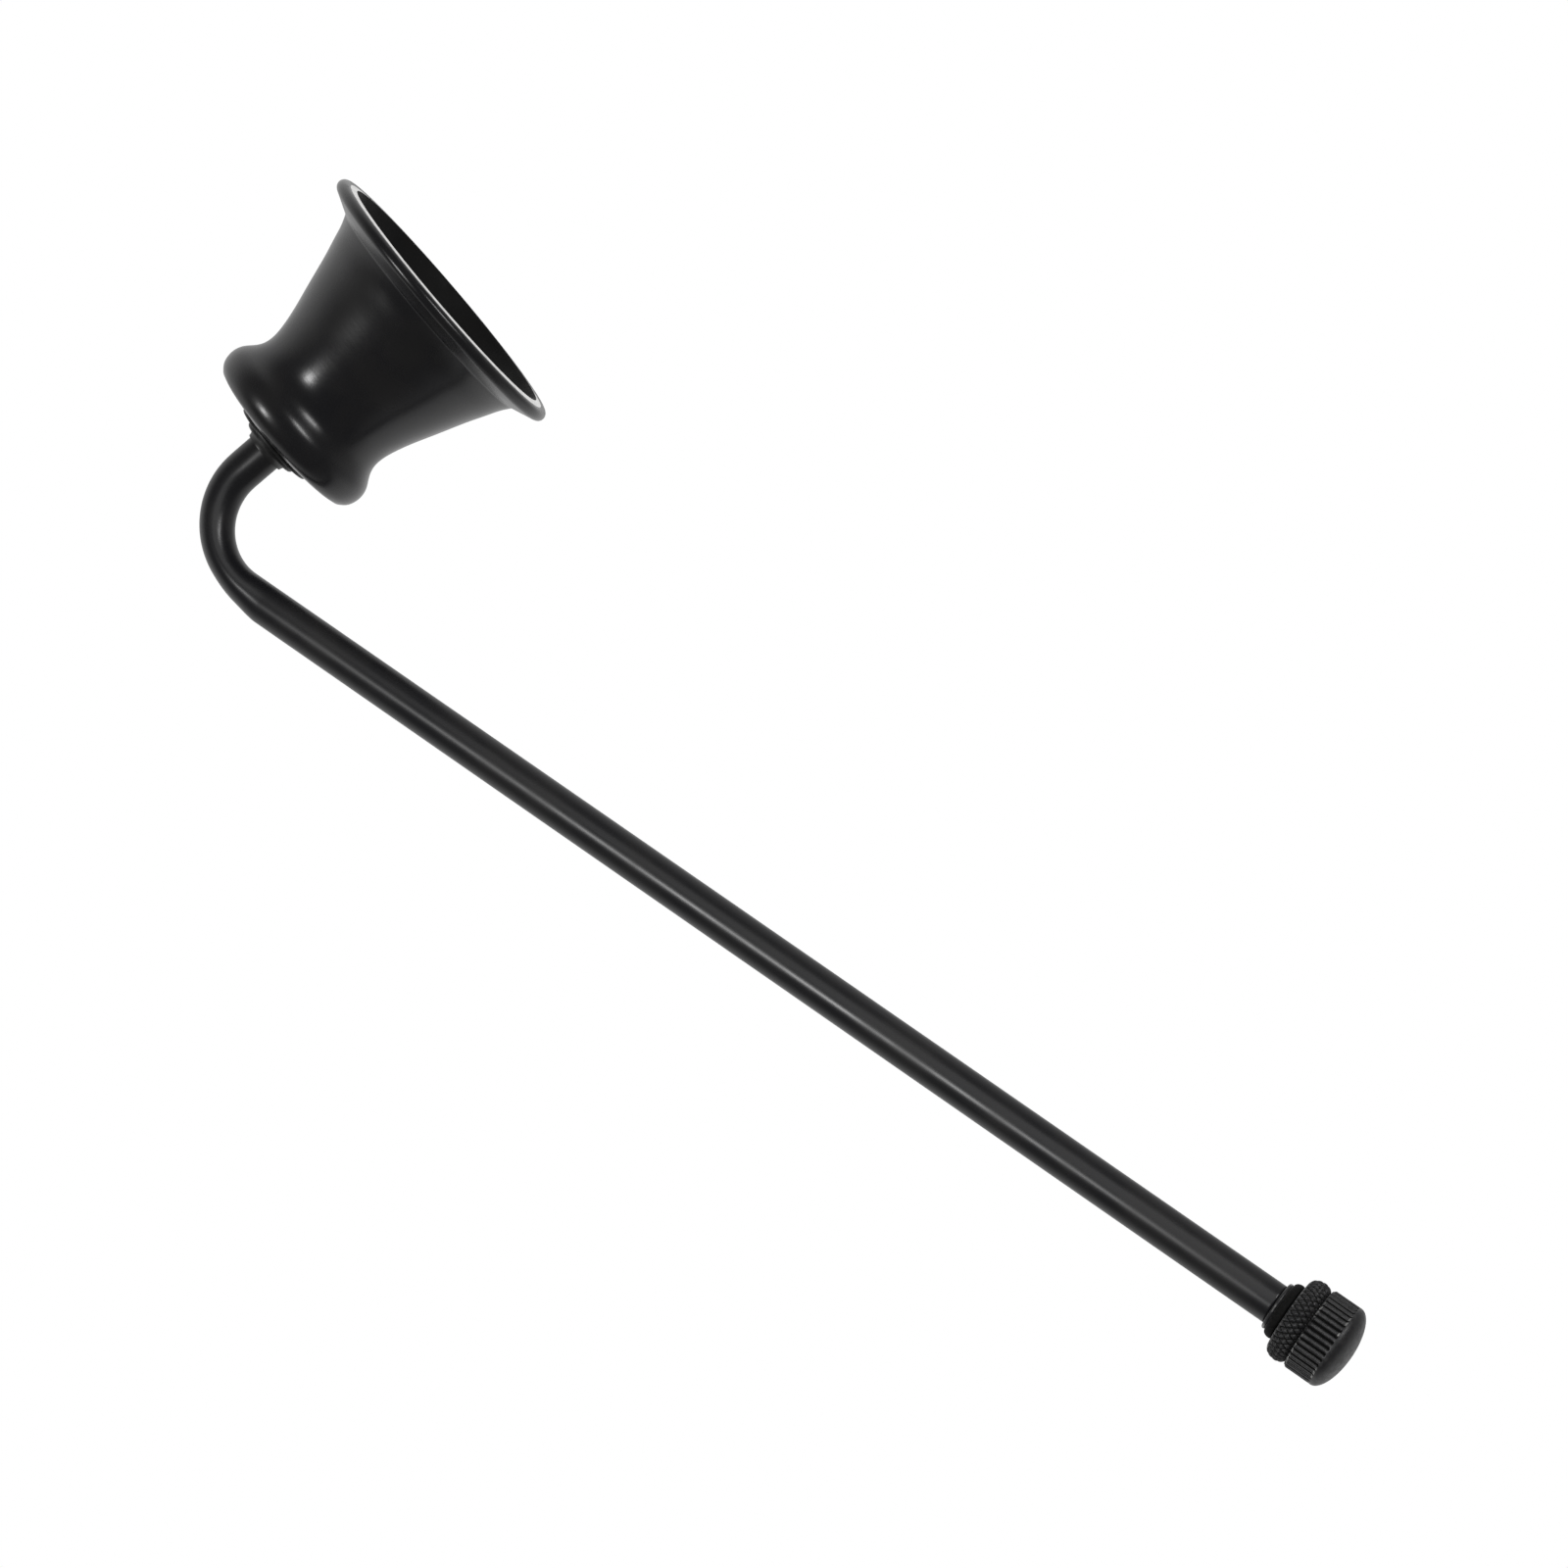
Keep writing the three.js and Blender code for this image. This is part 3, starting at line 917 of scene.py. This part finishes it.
# Painted shade for the bottoms of the grooves and for the ferrule's flare.
groove_shade = groove_painted_shade()
cup_hardware = black_hardware("blackened_steel", 0.012, 0.027)
# A paler copy of the blackened steel: painted light for the screw and its washers, which sit in
# shade inside the cup.
inside_steel_painted_light = black_hardware("blackened_screw_steel", 0.06, 0.11)
bright_steel = zinc_steel()

backing_base = HUB_HEIGHT + GAP
collar_base = backing_base + WASHER_THICK + GAP
inner_base = HUB_HEIGHT - WALL - GAP - WASHER_THICK
lock_top = inner_base - GAP
head_top = lock_top - LOCK_WASHER_THICK - GAP
backing_shape = flat_washer(BACKING_RADIUS, backing_base, BACKING_CROWN)
inner_washer_shape = flat_washer(INNER_WASHER_RADIUS, inner_base, INNER_CROWN)
plug_in_cup_end = plug_shape(collar_base + PLUG_INSET)
plug_in_knob_end = plug_shape(-PLUG_INSET - PLUG_LENGTH)

settle("bell_shell", cup_shape(), cup_frame, "cup", [cup_paint, inside_paint])
settle("handle_tube", tube_shape(collar_base), cup_frame, "handle", [tube_paint])
wall = pieces["handle_tube"].modifiers.new("wall", "SOLIDIFY")
wall.thickness = TUBE_WALL * MM
wall.offset = -1
settle_hardware("backing_washer", backing_shape, "handle", cup_hardware)
settle_hardware("tube_collar", collar_shape(collar_base), "handle", cup_hardware)
settle("tube_plug_bell", plug_in_cup_end, cup_frame, "handle", [bright_steel])
settle_hardware("inner_washer", inner_washer_shape, "cup_screw", inside_steel_painted_light)
settle_hardware("lock_washer", lock_washer_shape(lock_top), "cup_screw", inside_steel_painted_light)
settle_hardware("bell_screw", screw_shape(head_top), "cup_screw", inside_steel_painted_light)
settle_at_knob("tube_plug_knob", plug_in_knob_end, "handle", "zinc_steel", bright_steel)
settle_at_knob("knob_stud", stud_shape(), "stud", "zinc_steel", bright_steel)
settle_at_knob("taper_ferrule", ferrule_shape(), "handle", "knob_enamel", ferrule_paint, groove_shade)
settle_at_knob("knurled_ring", ring_shape(ring_low), "lock_ring", "knob_enamel", ring_paint, groove_shade)
settle_at_knob("fluted_knob", knob_shape(knob_low), "knob", "knob_enamel", knob_paint, groove_shade)

handle_end = [
    pieces[name] for name in ("handle_tube", "taper_ferrule", "knurled_ring", "fluted_knob")
]
cup_end = [piece for piece in pieces.values() if piece not in handle_end]


# ---- stage ----
FRONT = (0.200, 0.977, -0.079)  # the side that the snuffer is looked at from
DARK_CORNER = (0.34, -0.30, -0.89)
FRONT_LEVEL = 0.13  # how bright the front is, and how much more the walls are
WALL_LEVEL = 0.62
CORNER_LOSS = 0.7
LIGHT_DISTANCE = 0.8
FLOOR_REACH = 3.0


def floor():
    """A plain pale floor that is seen from above only."""
    bm = bmesh.new()
    bmesh.ops.create_grid(bm, x_segments=1, y_segments=1, size=FLOOR_REACH)
    mesh = bpy.data.meshes.new("floor")
    bm.to_mesh(mesh)
    bm.free()
    coat = Coat("pale_floor")
    coat.done(
        Base_Color=grey(0.85),
        Roughness=0.9,
        Emission_Color=grey(0.3),
        Emission_Strength=1.0,
    )
    under = coat.node("ShaderNodeBsdfTransparent").outputs[0]
    facing = coat.node("ShaderNodeNewGeometry").outputs["Backfacing"]
    sockets = {0: facing, 1: coat.shader.outputs[0], 2: under}
    both = coat.node("ShaderNodeMixShader", None, sockets).outputs[0]
    coat.feed(coat.output.inputs["Surface"], both)
    mesh.materials.append(coat.material)
    thing = bpy.data.objects.new("floor", mesh)
    bpy.context.scene.collection.objects.link(thing)
    thing.visible_glossy = False
    thing.visible_shadow = False


def towards(bench, direction, aim):
    """How nearly a direction points the given way: 1 there, 0 across and -1 away."""
    x, y, z = bench.split(direction)
    return aim[0] * x + aim[1] * y + aim[2] * z


def studio():
    """White walls behind the snuffer, dim on the side that it is looked at from."""
    world = bpy.data.worlds.new("studio")
    bench = Bench(world)
    direction = bench.node("ShaderNodeTexCoord").outputs["Generated"]
    front = towards(bench, direction, FRONT)
    gap = bench.step(towards(bench, direction, DARK_CORNER), 0.45, 0.95)
    walls = bench.step(front, 0.35, -0.4) * (1 - CORNER_LOSS * gap)
    level = FRONT_LEVEL + WALL_LEVEL * walls
    seen = Signal(bench, bench.node("ShaderNodeLightPath").outputs["Is Camera Ray"])
    level = level * (1 - seen) + seen
    sockets = {"Color": grey(1), "Strength": level}
    sky = bench.node("ShaderNodeBackground", None, sockets).outputs[0]
    bench.node("ShaderNodeOutputWorld", None, {"Surface": sky})
    bpy.context.scene.world = world


def softbox(name, direction, width, length, power, only=()):
    """A light that looks at the snuffer from that direction, its length across the cup's axis.
    Where only names some pieces, it lights just those."""
    away = Vector(direction).normalized()
    across = cup_axis.cross(away).normalized()
    lamp = bpy.data.lights.new(name, "AREA")
    lamp.shape = "ELLIPSE"
    lamp.size = length
    lamp.size_y = width
    lamp.energy = power
    thing = bpy.data.objects.new(name, lamp)
    turn = Matrix((across, away.cross(across), away)).transposed()
    thing.matrix_world = Matrix.Translation(away * LIGHT_DISTANCE) @ turn.to_4x4()
    thing.visible_camera = False
    bpy.context.scene.collection.objects.link(thing)
    if only:
        lit = bpy.data.collections.new(name + "_lights")
        for piece in only:
            lit.objects.link(piece)
        thing.light_linking.receiver_collection = lit


def camera():
    lens = bpy.data.cameras.new("camera")
    lens.lens = 110.94
    lens.sensor_width = 36.0
    lens.clip_start = 0.01
    thing = bpy.data.objects.new("camera", lens)
    thing.location = (0.13671, 0.67511, -0.04325)
    thing.rotation_mode = "QUATERNION"
    thing.rotation_quaternion = Quaternion((0.6454717, -0.6392080, 0.3620884, 0.2089773))
    bpy.context.scene.collection.objects.link(thing)
    bpy.context.scene.camera = thing


floor()
studio()
softbox("round_light", (-0.44, 0.81, 0.38), 0.14, 0.14, 1.6, cup_end)
softbox("low_strip", (0.24, 0.60, -0.76), 0.1, 0.34, 1.5)
softbox("handle_light", (-0.084, 0.934, 0.370), 0.12, 0.12, 1.75, handle_end)
softbox("wide_light", (-0.035, 0.915, -0.400), 0.75, 0.75, 1.25, handle_end)
camera()
bpy.context.scene.view_settings.view_transform = "Standard"
